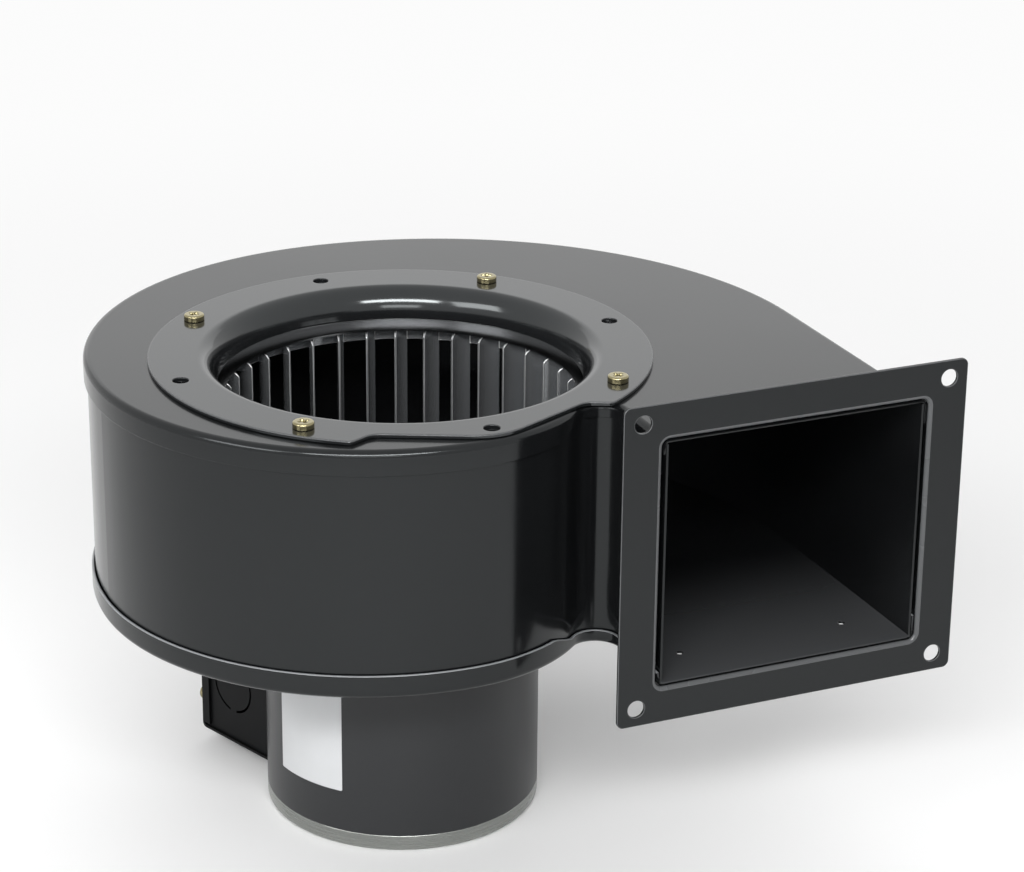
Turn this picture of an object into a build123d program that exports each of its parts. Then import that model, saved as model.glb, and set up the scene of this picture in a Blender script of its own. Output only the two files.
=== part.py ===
from build123d import *
import math
import os

# A flanged centrifugal blower that stands on the end of its own motor. Millimetres.
# Origin: centre of the motor's lower face. +Z runs up the shaft to the inlet, +X out of the outlet.

# Housing
motor_length = 104.0        # lower face of the motor to the outside of the motor-side plate
housing_depth = 113.9       # over both side plates
plate_sheet = 1.2
wrap_sheet = 1.0
rim_height = 11.1           # folded edge of a side plate, with its bend
tongue_rim_height = 6.4     # the same edge round the tongue and along the duct's near wall
relief_reach = 30.4         # the edge starts to narrow this far below the near wall
relief_slope = 11.0
rim_bend = 3.0              # outside radius of the bend
rim_gap = 0.4               # from the wrap to the rims round it
seat_gap = 0.05             # between pieces that are pressed or screwed together
passage_back = 100.0        # from the wheel out to the rims, at the duct's far wall
passage_side = 73.6         # and a quarter turn further on, three times
passage_front = 47.4
passage_cutoff = 23.7
scroll_x = 13.8             # centre of the first and widest quarter
cutoff_radius = 83.2        # radius of the last quarter, over the rims
tongue_radius = 10.0
duct_width = 127.3          # over its rims
weep_hole = 3.2             # two small holes in the duct's floor
weep_offset = 40.5          # from the duct's centre line
weep_setback = 25.0         # from the flange's face

# Outlet flange
flange_x = 140.4            # front face
flange_sheet = 1.5
flange_border_y = 18.4      # from its opening to its edges
flange_border_z = 16.55
flange_corner = 3.2
flange_hole = 7.94
hole_from_edge_y = 9.05
hole_from_edge_z = 8.2
duct_setback = 1.0          # the duct's end stands this far behind the front face
collar_gap = 0.5
collar_depth = 12.7
collar_edge = 1.2           # rounded inner edge of the opening

# Inlet ring
ring_sheet = 1.9
ring_seat = 5.7             # from the plate's opening out to the circle of holes
ring_border = 9.8           # from the circle of holes out to the ring's edge
throat_reach = 4.5          # from the blades' inner edges out to the throat
mouth_roll = 9.0            # from the throat out to where the flat ring starts
mouth_depth = 14.1
notch_depth = 22.6          # the ring is cut back by this much on each side of a lobe
notch_y = 49.0
notch_round = 8.0
lobe_rise = 0.4             # the lobe's straight sides would meet this far outside the ring
lobe_round = 30.0
trim_corner = 3.0
ring_hole = 7.14
ring_hole_count = 4
screw_diameter = 4.8
screw_head = 9.4
screw_head_height = 3.0
screw_length = 9.5
screw_clearance = 0.2
wheel_clearance = 7.8       # round the wheel as it comes out through the inlet-side plate

# Wheel
blade_count = 36
blade_phase = 0.3           # degrees
blade_sheet = 0.8
blade_depth = 11.35         # from the strip's outside in to the blades' inner edges
blade_curve = 12.9
blade_corner = 5.5
strip_radius = 88.85        # outside of the blade strip
strip_margin = 7.0
wheel_sheet = 0.8
wheel_above_plate = 8.3     # from the motor-side plate's outer face up to the wheel
wheel_below_ring = 18.6     # from the ring's face down to the wheel's inlet edge
end_ring_step = 1.7         # the end ring's bore stands back from the blades' inner edges
bead_depth = 1.65
bead_height = 2.9
clinch_depth = 6.0
back_dish = 10.0
dish_outer = 62.0
dish_inner = 34.0

# Shaft and hub
shaft_diameter = 12.7
shaft_end = 0.2             # stands out of the hub
shaft_flat = 0.8
bearing_clearance = 0.03
hub_diameter = 28.0
hub_flange = 48.0
hub_flange_height = 2.7
hub_height = 22.0
hub_spigot = 20.0
set_screw = 6.0

# Motor
motor_diameter = 127.0
shell_sheet = 1.5
cap_height = 8.0
cap_floor = 3.0
cap_edge = 1.5
spigot_length = 5.0
spigot_wall = 2.5
bell_flange = 3.0
bell_web = 6.0
boss_diameter = 28.0
boss_above_plate = 4.0
pilot_clearance = 0.5
bearing_diameter = 19.0
bearing_length = 20.0
bearing_floor = 6.0
core_bottom = 34.0
core_height = 44.0
core_bore = 62.8
slot_count = 24
slot_width = 3.6
slot_depth = 12.0
air_gap = 0.4
coil_inner = 34.0
coil_outer = 50.0
coil_height = 14.0
cage_inner = 22.0
cage_outer = 30.0
cage_height = 6.0
collar_diameter = 20.0
end_play = 0.3
bolt_inset = 8.5            # from the outside of the shell in to the circle of bolts
bolt_diameter = 4.1
bolt_head = 8.0
bolt_head_height = 3.5
bolt_boss = 10.0
bolt_boss_height = 15.0
bolt_tip = 8.0              # height of the bolts' tips over the motor's lower face

# Junction box, on the side of the shell
box_angle = 200.0           # degrees from +X
box_width = 70.0
box_bottom = 6.0
box_height = 56.0
box_sheet = 1.5
box_reach = 105.7           # shaft axis to the outside of the cover
cover_sheet = 1.2
cover_lip = 5.2
cover_bend = 2.6            # outside radius where the cover is bent
cover_to_shell = 0.5
knockout = 27.6
knockout_groove = 1.2
knockout_tie = 4.5
knockout_setback = 22.6     # its centre, from the outside of the cover
cover_screw = 3.5
cover_screw_side = 31.5     # off the box's centre line
cover_screw_height = 21.0
tab_width = 11.0
lead_height = 20.0
grommet_hole = 12.0
grommet_bore = 7.0
grommet_lip = 3.0
grommet_lip_sheet = 1.5
box_screw_spread = 15.0     # degrees
box_screw_length = 6.0

# Places that follow from the sizes
quarter_turn = 90           # degrees
eighth_turn = quarter_turn / 2
plate_z = motor_length
top_z = plate_z + housing_depth
ring_top = top_z + ring_sheet
duct_end = flange_x - duct_setback
wheel_radius = strip_radius + seat_gap + wheel_sheet
far_y = wheel_radius + passage_back
near_y = far_y - duct_width
duct_y = (far_y + near_y) / 2
duct_z = plate_z + housing_depth / 2
back_radius = scroll_x + wheel_radius + passage_side
scroll_y = far_y - back_radius
left_radius = scroll_y + wheel_radius + passage_front
left_x = scroll_x - (back_radius - left_radius)
front_radius = wheel_radius + passage_cutoff - left_x
front_y = scroll_y - (left_radius - front_radius)
cutoff_x = left_x + (front_radius - cutoff_radius)
quarters = [
    ((scroll_x, scroll_y), back_radius),
    ((left_x, scroll_y), left_radius),
    ((left_x, front_y), front_radius),
    ((cutoff_x, front_y), cutoff_radius),
]
tongue_y = near_y - tongue_radius
tongue_x = cutoff_x + math.sqrt((cutoff_radius + tongue_radius) ** 2 - (tongue_y - front_y) ** 2)
tongue_turn = math.degrees(math.atan2(tongue_y - front_y, tongue_x - cutoff_x))
inner_bend = rim_bend - plate_sheet
wrap_inset = plate_sheet + rim_gap
wrap_rise = inner_bend - math.sqrt(inner_bend ** 2 - (inner_bend - rim_gap) ** 2) + seat_gap
wheel_top = ring_top - wheel_below_ring
wheel_bottom = plate_z + wheel_above_plate
blade_inner_radius = strip_radius - blade_depth
opening_radius = wheel_radius + wheel_clearance
ring_holes_radius = opening_radius + ring_seat
ring_radius = ring_holes_radius + ring_border
throat_radius = blade_inner_radius + throat_reach
mouth_radius = throat_radius + mouth_roll
notch_x = ring_radius - notch_depth
lobe_tip = ring_radius + lobe_rise
hub_seat = wheel_bottom + back_dish + wheel_sheet
hub_top = hub_seat + hub_flange_height + hub_height
shaft_top = hub_top + shaft_end
shaft_radius = shaft_diameter / 2
bore_radius = shaft_radius + seat_gap / 2
shell_radius = motor_diameter / 2
shell_bore = shell_radius - shell_sheet
bell_z = motor_length - bell_flange
bolts_radius = shell_radius - bolt_inset
core_top = core_bottom + core_height
boss_top = motor_length + boss_above_plate
upper_bearing_bottom = core_top + core_bottom - bearing_floor - bearing_length
bolt_radius = bolt_diameter / 2
bolt_hole = bolt_radius + seat_gap


def scroll_line(inset, end_x):
    """Draw the scroll's outline, moved in from the rims by inset and open at the outlet."""
    Line((end_x, far_y - inset), (scroll_x, far_y - inset))
    for turn, (centre, radius) in enumerate(quarters, start=1):
        sweep = quarter_turn if turn < len(quarters) else tongue_turn
        CenterArc(centre, radius - inset, quarter_turn * turn, sweep)
    tongue_start = 2 * quarter_turn + tongue_turn
    CenterArc((tongue_x, tongue_y), tongue_radius + inset, tongue_start, quarter_turn - tongue_start)
    Line((tongue_x, near_y + inset), (end_x, near_y + inset))


def scroll_area(z, inset, end_x):
    """Sketch the whole area inside the scroll's outline at height z."""
    with BuildSketch(Plane.XY.offset(z)) as area:
        with BuildLine():
            scroll_line(inset, end_x)
            Line((end_x, near_y + inset), (end_x, far_y - inset))
        make_face()
    return area.sketch


def folded_plate(face_z, fold):
    """Press a side plate with its edge folded over: fold is 1 for up and -1 for down."""
    floor_z = face_z + fold * plate_sheet
    extrude(scroll_area(face_z, 0, duct_end), amount=fold * rim_height)
    hollow = scroll_area(floor_z, plate_sheet, duct_end + plate_sheet)
    extrude(hollow, amount=fold * rim_height, mode=Mode.SUBTRACT)
    for z, radius in ((floor_z, inner_bend), (face_z, rim_bend)):
        level = edges().filter_by_position(Axis.Z, z - seat_gap, z + seat_gap)
        fillet(level.filter_by(lambda edge: edge.center().X < duct_end - seat_gap), radius)
    full_z = face_z + fold * rim_height
    narrow_z = face_z + fold * tongue_rim_height
    relief_y = near_y - relief_reach
    with BuildSketch(Plane.YZ.offset(cutoff_x)) as relief:
        with BuildLine():
            Polyline(
                (relief_y, full_z),
                (relief_y + relief_slope, narrow_z),
                (duct_y, narrow_z),
                (duct_y, full_z),
                close=True,
            )
        make_face()
    extrude(relief.sketch, amount=duct_end - cutoff_x, mode=Mode.SUBTRACT)


def cut_holes(face_z, depth, circle_radius, count, first_angle, diameter):
    """Drill a ring of holes down from face_z."""
    with BuildSketch(Plane.XY.offset(face_z)) as holes:
        with PolarLocations(circle_radius, count, first_angle):
            Circle(diameter / 2)
    extrude(holes.sketch, amount=-depth, mode=Mode.SUBTRACT)


def box_plane(reach):
    """Plane across the junction box: its x runs sideways, its y up and its normal outward."""
    angle = math.radians(box_angle)
    outward = (math.cos(angle), math.sin(angle), 0)
    sideways = (-math.sin(angle), math.cos(angle), 0)
    origin = (reach * outward[0], reach * outward[1], 0)
    return Plane(origin=origin, x_dir=sideways, z_dir=outward)


def radial_plane(angle, reach, z):
    """Plane whose normal points outward from the shaft axis at an angle."""
    turn = math.radians(angle)
    outward = (math.cos(turn), math.sin(turn), 0)
    return Plane(origin=(reach * outward[0], reach * outward[1], z), z_dir=outward)


def finish(piece, name):
    piece.part.label = name
    export_step(piece.part, f"parts/{name}.step")


os.makedirs("parts", exist_ok=True)

# Scroll wrap: one band from the duct's far wall, round the wheel and back along its near wall.
with BuildPart() as scroll_wrap:
    with BuildSketch(Plane.XY.offset(plate_z + plate_sheet + wrap_rise)):
        with BuildLine():
            scroll_line(wrap_inset, duct_end)
            scroll_line(wrap_inset + wrap_sheet, duct_end)
            for edge_y, side in ((far_y, -1), (near_y, 1)):
                outside = edge_y + side * wrap_inset
                Line((duct_end, outside), (duct_end, outside + side * wrap_sheet))
        make_face()
    extrude(amount=housing_depth - 2 * (plate_sheet + wrap_rise))
finish(scroll_wrap, "scroll_wrap")

# Inlet-side plate: its opening lets the wheel out once the inlet ring is off.
with BuildPart() as inlet_side_plate:
    folded_plate(top_z, -1)
    with BuildSketch(Plane.XY.offset(top_z)):
        Circle(opening_radius)
    extrude(amount=-plate_sheet, mode=Mode.SUBTRACT)
    cut_holes(top_z, plate_sheet, ring_holes_radius, ring_hole_count, 0, ring_hole)
    cut_holes(top_z, plate_sheet, ring_holes_radius, 4, eighth_turn, screw_diameter + 2 * seat_gap)
finish(inlet_side_plate, "inlet_side_plate")

# Motor-side plate: carries the motor on four bolts round its bearing boss.
with BuildPart() as motor_side_plate:
    folded_plate(plate_z, 1)
    inside_z = plate_z + plate_sheet
    with BuildSketch(Plane.XY.offset(inside_z)):
        Circle(boss_diameter / 2 + pilot_clearance)
        with Locations((flange_x - weep_setback, duct_y)):
            with GridLocations(1, 2 * weep_offset, 1, 2):
                Circle(weep_hole / 2)
    extrude(amount=-plate_sheet, mode=Mode.SUBTRACT)
    cut_holes(inside_z, plate_sheet, bolts_radius, 4, eighth_turn, 2 * bolt_hole)
finish(motor_side_plate, "motor_side_plate")

# Outlet flange: a stamped frame whose collar goes round the end of the duct.
opening_width = duct_width + 2 * collar_gap
opening_height = housing_depth + 2 * collar_gap
flange_width = opening_width + 2 * flange_border_y
flange_height = opening_height + 2 * flange_border_z
with BuildPart() as outlet_flange:
    with BuildSketch(Plane.YZ.offset(flange_x)):
        with Locations((duct_y, duct_z)):
            RectangleRounded(flange_width, flange_height, flange_corner)
            with GridLocations(flange_width - 2 * hole_from_edge_y, flange_height - 2 * hole_from_edge_z, 2, 2):
                Circle(flange_hole / 2, mode=Mode.SUBTRACT)
    extrude(amount=-flange_sheet)
    with BuildSketch(Plane.YZ.offset(flange_x - flange_sheet)):
        with Locations((duct_y, duct_z)):
            collar_radius = rim_bend + collar_gap + flange_sheet
            RectangleRounded(opening_width + 2 * flange_sheet, opening_height + 2 * flange_sheet, collar_radius)
    extrude(amount=-collar_depth)
    with BuildSketch(Plane.YZ.offset(flange_x)):
        with Locations((duct_y, duct_z)):
            RectangleRounded(opening_width, opening_height, rim_bend + collar_gap)
    extrude(amount=-(collar_depth + flange_sheet), mode=Mode.SUBTRACT)
    front = faces().sort_by(Axis.X)[-1]
    fillet(front.inner_wires().sort_by(SortBy.LENGTH)[-1].edges(), collar_edge)
finish(outlet_flange, "outlet_flange")

# Inlet ring: the bell-mouth is drawn down from the flat ring, which is trimmed beside the duct.
with BuildPart() as inlet_ring:
    lip_z = ring_top - mouth_depth
    inner_roll = mouth_roll - ring_sheet
    inner_depth = mouth_depth - ring_sheet
    with BuildSketch(Plane.XZ):
        with BuildLine():
            Line((ring_radius, ring_top), (mouth_radius, ring_top))
            quarter = {"start_angle": quarter_turn, "arc_size": quarter_turn}
            EllipticalCenterArc((mouth_radius, lip_z), mouth_roll, mouth_depth, **quarter)
            Line((throat_radius, lip_z), (throat_radius + ring_sheet, lip_z))
            EllipticalCenterArc((mouth_radius, lip_z), inner_roll, inner_depth, **quarter)
            Line((mouth_radius, top_z), (ring_radius, top_z))
            Line((ring_radius, top_z), (ring_radius, ring_top))
        make_face()
    revolve(axis=Axis.Z)
    ends = (lobe_tip, 2 * notch_y), (lobe_tip, -2 * notch_y)
    with BuildSketch(Plane.XY.offset(lip_z)):
        Circle(ring_radius)
        with BuildLine():
            corners = (notch_x, notch_y), (lobe_tip, 0), (notch_x, -notch_y)
            FilletPolyline(ends[0], *corners, ends[1], radius=[notch_round, lobe_round, notch_round])
            Polyline(ends[1], (2 * ring_radius, -2 * notch_y), (2 * ring_radius, 2 * notch_y), ends[0])
        make_face(mode=Mode.SUBTRACT)
        rim_ends = vertices().filter_by(lambda v: abs(math.hypot(v.X, v.Y) - ring_radius) < seat_gap)
        fillet(rim_ends, trim_corner)
    extrude(amount=ring_top - lip_z, mode=Mode.INTERSECT)
    cut_holes(ring_top, ring_sheet, ring_holes_radius, ring_hole_count, 0, ring_hole)
    cut_holes(ring_top, ring_sheet, ring_holes_radius, 4, eighth_turn, screw_diameter + 2 * screw_clearance)
finish(inlet_ring, "inlet_ring")

# Four pan head screws hold the ring down on the plate.
with BuildPart() as inlet_ring_screws:
    with BuildSketch(Plane.XY.offset(ring_top)):
        with PolarLocations(ring_holes_radius, 4, eighth_turn):
            Circle(screw_head / 2)
    extrude(amount=screw_head_height)
    chamfer(edges().group_by(Axis.Z)[-1], screw_head_height / 3)
    with BuildSketch(Plane.XY.offset(ring_top)):
        with PolarLocations(ring_holes_radius, 4, eighth_turn):
            Circle(screw_diameter / 2)
    extrude(amount=-screw_length)
finish(inlet_ring_screws, "inlet_ring_screws")

# Blade strip: forward-curved blades between two plain margins, all from one rolled strip.
# Each blade leaves its inner edge along a radius and curves clockwise out to the strip.
strip_middle = strip_radius - wheel_sheet / 2
reach_term = (strip_middle ** 2 - blade_inner_radius ** 2 - 2 * blade_curve ** 2) / (2 * blade_curve)
blade_centre = math.hypot(blade_inner_radius, blade_curve)
blade_turn = math.degrees(math.atan2(blade_curve, blade_inner_radius) + math.asin(reach_term / blade_centre))
blade_bottom = wheel_bottom + wheel_sheet + seat_gap
blade_top = wheel_top - wheel_sheet - seat_gap
strip_top = wheel_top + bead_height - wheel_sheet - seat_gap
with BuildPart() as wheel_blade_strip:
    with BuildSketch(Plane.XY.offset(blade_bottom)):
        with BuildSketch(mode=Mode.PRIVATE) as blade:
            with BuildLine():
                centre = (blade_inner_radius, -blade_curve)
                inner = CenterArc(centre, blade_curve - blade_sheet / 2, quarter_turn, -blade_turn)
                outer = CenterArc(centre, blade_curve + blade_sheet / 2, quarter_turn, -blade_turn)
                Line(inner @ 0, outer @ 0)
                Line(inner @ 1, outer @ 1)
            make_face()
        with PolarLocations(0, blade_count, blade_phase):
            add(blade.sketch)
    extrude(amount=blade_top - blade_bottom)
    with BuildSketch(Plane.XZ):
        with BuildLine():
            low = blade_bottom - 1
            corner_z = blade_top - blade_corner
            inside = blade_inner_radius - blade_sheet
            Polyline((strip_middle, blade_top), (strip_middle, low), (inside, low), (inside, corner_z))
            RadiusArc((inside, corner_z), (inside + blade_corner, blade_top), blade_corner)
            Line((inside + blade_corner, blade_top), (strip_middle, blade_top))
        make_face()
    revolve(axis=Axis.Z, mode=Mode.INTERSECT)
    for low, high in ((blade_bottom, blade_bottom + strip_margin), (blade_top - strip_margin, strip_top)):
        with BuildSketch(Plane.XY.offset(low)):
            Circle(strip_radius)
            Circle(strip_radius - wheel_sheet, mode=Mode.SUBTRACT)
        extrude(amount=high - low)
finish(wheel_blade_strip, "wheel_blade_strip")

# End ring: a flat web over the blades' ends and a raised bead clinched round the strip.
end_ring_inner = blade_inner_radius + end_ring_step
bead_inner = strip_radius - bead_depth
bead_top = wheel_top + bead_height
with BuildPart() as wheel_end_ring:
    with BuildSketch(Plane.XZ):
        with BuildLine():
            wall = strip_radius - wheel_sheet - seat_gap
            web_z = wheel_top - wheel_sheet
            Polyline(
                (end_ring_inner, web_z),
                (wall, web_z),
                (wall, bead_top - wheel_sheet),
                (strip_radius + seat_gap, bead_top - wheel_sheet),
                (strip_radius + seat_gap, web_z - clinch_depth),
                (wheel_radius, web_z - clinch_depth),
                (wheel_radius, bead_top),
                (bead_inner, bead_top),
                (bead_inner, wheel_top),
                (end_ring_inner, wheel_top),
                close=True,
            )
        make_face()
        fillet(vertices().group_by(Axis.Y)[-1], wheel_sheet)
    revolve(axis=Axis.Z)
finish(wheel_end_ring, "wheel_end_ring")

# Back plate: a dished disc, clinched round the other end of the strip and bolted to the hub.
with BuildPart() as wheel_back_plate:
    with BuildSketch(Plane.XZ):
        with BuildLine():
            spigot_bore = hub_spigot / 2 + seat_gap
            raised = wheel_bottom + back_dish
            clinch_inner = strip_radius + seat_gap
            clinch_top = wheel_bottom + wheel_sheet + clinch_depth
            Polyline(
                (spigot_bore, raised),
                (dish_inner, raised),
                (dish_outer, wheel_bottom),
                (wheel_radius, wheel_bottom),
                (wheel_radius, clinch_top),
                (clinch_inner, clinch_top),
                (clinch_inner, wheel_bottom + wheel_sheet),
                (dish_outer, wheel_bottom + wheel_sheet),
                (dish_inner, raised + wheel_sheet),
                (spigot_bore, raised + wheel_sheet),
                close=True,
            )
        make_face()
    revolve(axis=Axis.Z)
finish(wheel_back_plate, "wheel_back_plate")

# Hub: its flange sits on the back plate and its set screw on the shaft's flat.
set_screw_z = hub_seat + hub_flange_height + hub_height / 2
with BuildPart() as wheel_hub:
    with BuildSketch(Plane.XY.offset(hub_seat)):
        Circle(hub_flange / 2)
    extrude(amount=hub_flange_height)
    with BuildSketch(Plane.XY.offset(hub_seat)):
        Circle(hub_diameter / 2)
    extrude(amount=hub_top - hub_seat)
    with BuildSketch(Plane.XY.offset(hub_seat)):
        Circle(hub_spigot / 2)
    extrude(amount=-(wheel_sheet + hub_flange_height))
    with BuildSketch(Plane.XY.offset(hub_seat - wheel_sheet - hub_flange_height)):
        Circle(bore_radius)
    extrude(amount=hub_height + 2 * hub_flange_height + wheel_sheet, mode=Mode.SUBTRACT)
    with BuildSketch(Plane.YZ):
        with Locations((0, set_screw_z)):
            Circle(set_screw / 2 + seat_gap)
    extrude(amount=hub_diameter, mode=Mode.SUBTRACT)
finish(wheel_hub, "wheel_hub")

with BuildPart() as hub_set_screw:
    with BuildSketch(Plane.YZ.offset(shaft_radius - shaft_flat + seat_gap)):
        with Locations((0, set_screw_z)):
            Circle(set_screw / 2)
    extrude(amount=hub_diameter / 2 - shaft_radius + shaft_flat)
finish(hub_set_screw, "hub_set_screw")

with BuildPart() as motor_shaft:
    with BuildSketch(Plane.XY.offset(bearing_floor + 1)):
        Circle(shaft_radius)
    extrude(amount=shaft_top - bearing_floor - 1)
    chamfer(edges().group_by(Axis.Z)[-1], shaft_flat)
    with BuildSketch(Plane.XY.offset(hub_seat)):
        with Locations((shaft_radius - shaft_flat, 0)):
            Rectangle(shaft_diameter, shaft_diameter, align=(Align.MIN, Align.CENTER))
    extrude(amount=shaft_top - hub_seat, mode=Mode.SUBTRACT)
finish(motor_shaft, "motor_shaft")

# Rotor: laminated core, cast end rings, and a collar on each side that runs against its bearing.
rotor_radius = core_bore / 2 - air_gap
with BuildPart() as rotor_core:
    with BuildSketch(Plane.XY.offset(core_bottom)):
        Circle(rotor_radius)
        Circle(bore_radius, mode=Mode.SUBTRACT)
    extrude(amount=core_height)
finish(rotor_core, "rotor_core")

with BuildPart() as rotor_cage:
    for z in (core_bottom - cage_height, core_top):
        with BuildSketch(Plane.XY.offset(z)):
            Circle(cage_outer)
            Circle(cage_inner, mode=Mode.SUBTRACT)
        extrude(amount=cage_height)
finish(rotor_cage, "rotor_cage")

lower_bearing_top = bearing_floor + bearing_length
with BuildPart() as thrust_collars:
    lower_end = lower_bearing_top + end_play
    upper_end = upper_bearing_bottom - end_play
    for low, high in ((lower_end, core_bottom), (core_top, upper_end)):
        with BuildSketch(Plane.XY.offset(low)):
            Circle(collar_diameter / 2)
            Circle(bore_radius, mode=Mode.SUBTRACT)
        extrude(amount=high - low)
finish(thrust_collars, "thrust_collars")

# Stator: slotted core pressed in the shell, with a coil head above and below it.
with BuildPart() as stator_core:
    with BuildSketch(Plane.XY.offset(core_bottom)):
        Circle(shell_bore - seat_gap)
        Circle(core_bore / 2, mode=Mode.SUBTRACT)
        with PolarLocations(core_bore / 2, slot_count):
            Rectangle(2 * slot_depth, slot_width, mode=Mode.SUBTRACT)
        with PolarLocations(bolts_radius, 4, eighth_turn):
            Circle(bolt_hole, mode=Mode.SUBTRACT)
    extrude(amount=core_height)
finish(stator_core, "stator_core")

with BuildPart() as stator_winding:
    for z in (core_bottom - coil_height, core_top):
        with BuildSketch(Plane.XY.offset(z)):
            Circle(coil_outer)
            Circle(coil_inner, mode=Mode.SUBTRACT)
        extrude(amount=coil_height)
    ends = edges().group_by(Axis.Z)
    chamfer(ends[0] + ends[-1], coil_height / 4)
finish(stator_winding, "stator_winding")

# Shell: a plain tube, with one hole for the leads and two for the box's screws.
with BuildPart() as motor_shell:
    with BuildSketch(Plane.XY.offset(cap_height)):
        Circle(shell_radius)
        Circle(shell_bore, mode=Mode.SUBTRACT)
    extrude(amount=bell_z - cap_height)
    with BuildSketch(box_plane(0)):
        with Locations((0, lead_height)):
            Circle(grommet_hole / 2)
    extrude(amount=motor_diameter, mode=Mode.SUBTRACT)
    for side in (-1, 1):
        with BuildSketch(radial_plane(box_angle + side * box_screw_spread, 0, lead_height)):
            Circle(bolt_hole)
        extrude(amount=motor_diameter, mode=Mode.SUBTRACT)
finish(motor_shell, "motor_shell")

# Lower end cap: the motor stands on it. It holds the lower bearing and takes the bolts.
with BuildPart() as lower_end_cap:
    with BuildSketch(Plane.XY):
        Circle(shell_radius)
    extrude(amount=cap_height)
    with BuildSketch(Plane.XY.offset(cap_height)):
        Circle(shell_bore - seat_gap)
    extrude(amount=spigot_length)
    with BuildSketch(Plane.XY.offset(cap_floor)):
        Circle(shell_bore - seat_gap - spigot_wall)
    extrude(amount=cap_height + spigot_length, mode=Mode.SUBTRACT)
    with BuildSketch(Plane.XY.offset(cap_floor)):
        Circle(boss_diameter / 2)
    extrude(amount=lower_bearing_top - cap_floor)
    with BuildSketch(Plane.XY.offset(cap_floor)):
        with PolarLocations(bolts_radius, 4, eighth_turn):
            Circle(bolt_boss / 2)
    extrude(amount=bolt_boss_height)
    with BuildSketch(Plane.XY.offset(lower_bearing_top)):
        Circle(bearing_diameter / 2 + seat_gap)
    extrude(amount=-bearing_length, mode=Mode.SUBTRACT)
    boss_top_z = cap_floor + bolt_boss_height
    cut_holes(boss_top_z, bolt_boss_height - 1, bolts_radius, 4, eighth_turn, 2 * bolt_hole)
    circles = edges().filter_by(GeomType.CIRCLE)
    rim_edges = circles.filter_by(lambda edge: abs(edge.radius - shell_radius) < seat_gap)
    chamfer(rim_edges.group_by(Axis.Z)[0], cap_edge)
finish(lower_end_cap, "lower_end_cap")

# Upper end bell: closes the shell, seats on the housing and holds the upper bearing.
with BuildPart() as upper_end_bell:
    with BuildSketch(Plane.XY.offset(bell_z)):
        Circle(shell_radius)
    extrude(amount=bell_flange)
    with BuildSketch(Plane.XY.offset(bell_z)):
        Circle(shell_bore - seat_gap)
    extrude(amount=-spigot_length)
    with BuildSketch(Plane.XY.offset(motor_length - bell_web)):
        Circle(shell_bore - seat_gap - spigot_wall)
    extrude(amount=-bell_web, mode=Mode.SUBTRACT)
    with BuildSketch(Plane.XY.offset(upper_bearing_bottom)):
        Circle(boss_diameter / 2)
    extrude(amount=boss_top - upper_bearing_bottom)
    with BuildSketch(Plane.XY.offset(upper_bearing_bottom)):
        Circle(bearing_diameter / 2 + seat_gap)
    extrude(amount=bearing_length, mode=Mode.SUBTRACT)
    with BuildSketch(Plane.XY.offset(upper_bearing_bottom)):
        Circle(shaft_radius + pilot_clearance)
    extrude(amount=boss_top - upper_bearing_bottom, mode=Mode.SUBTRACT)
    cut_holes(motor_length, 2 * bell_web, bolts_radius, 4, eighth_turn, 2 * bolt_hole)
finish(upper_end_bell, "upper_end_bell")

# Sleeve bearings.
for name, low in (("lower_bearing", bearing_floor), ("upper_bearing", upper_bearing_bottom)):
    with BuildPart() as bearing:
        with BuildSketch(Plane.XY.offset(low)):
            Circle(bearing_diameter / 2)
            Circle(shaft_radius + bearing_clearance, mode=Mode.SUBTRACT)
        extrude(amount=bearing_length)
    finish(bearing, name)

# Four long bolts hold plate, bell, core and cap together. Their heads are inside the housing.
with BuildPart() as motor_through_bolts:
    with BuildSketch(Plane.XY.offset(plate_z + plate_sheet)):
        with PolarLocations(bolts_radius, 4, eighth_turn):
            RegularPolygon(bolt_head / 2, 6, major_radius=False)
    extrude(amount=bolt_head_height)
    with BuildSketch(Plane.XY.offset(plate_z + plate_sheet)):
        with PolarLocations(bolts_radius, 4, eighth_turn):
            Circle(bolt_radius)
    extrude(amount=bolt_tip - plate_z - plate_sheet)
finish(motor_through_bolts, "motor_through_bolts")

# Junction box: two side walls on a saddle that follows the shell, closed by a bent cover.
box_middle = box_bottom + box_height / 2
box_end = box_reach - cover_sheet - seat_gap
saddle_radius = shell_radius + seat_gap
screw_places = [(cover_screw_side, cover_screw_height), (-cover_screw_side, 2 * box_middle - cover_screw_height)]
side_plane = Plane(origin=(0, 0, 0), x_dir=box_plane(0).z_dir, z_dir=-box_plane(0).x_dir)
knockout_place = (box_reach - knockout_setback, box_middle)

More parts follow.
